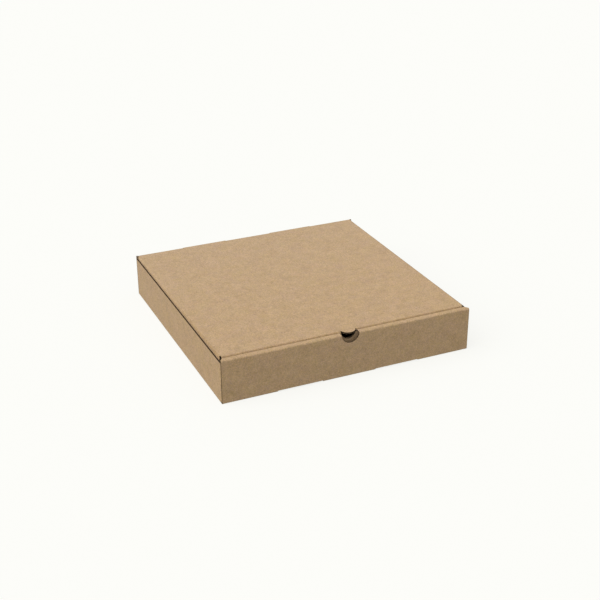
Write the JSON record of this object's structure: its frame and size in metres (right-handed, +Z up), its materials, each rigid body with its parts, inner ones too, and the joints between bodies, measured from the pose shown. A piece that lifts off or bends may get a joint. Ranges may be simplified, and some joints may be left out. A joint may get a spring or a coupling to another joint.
{
  "type": "pizza box",
  "caption": "Flat square pizza box folded from plain kraft corrugated board, with a hinged lid, a roll-over front wall, a finger notch and a thumb lip.",
  "frame": {"origin": "on the floor under the middle of the closed box", "axes": "+X to the right, seen from the front; +Y from the front wall with its finger notch to the hinge; +Z up"},
  "size_m": [0.31, 0.31, 0.0536],
  "materials": {
    "kraft_board": "matt brown kraft liner with fine fibres and faint blotches"
  },
  "bodies": {
    "tray": {"tray": "kraft_board"},
    "lid": {"lid": "kraft_board"}
  },
  "joints": [
    {"name": "lid_hinge", "type": "hinge", "parent": "tray", "child": "lid", "pos_m": [0, 0.15457, 0.05317], "axis": [-1, 0, 0], "range_deg": [0, 180]}
  ]
}
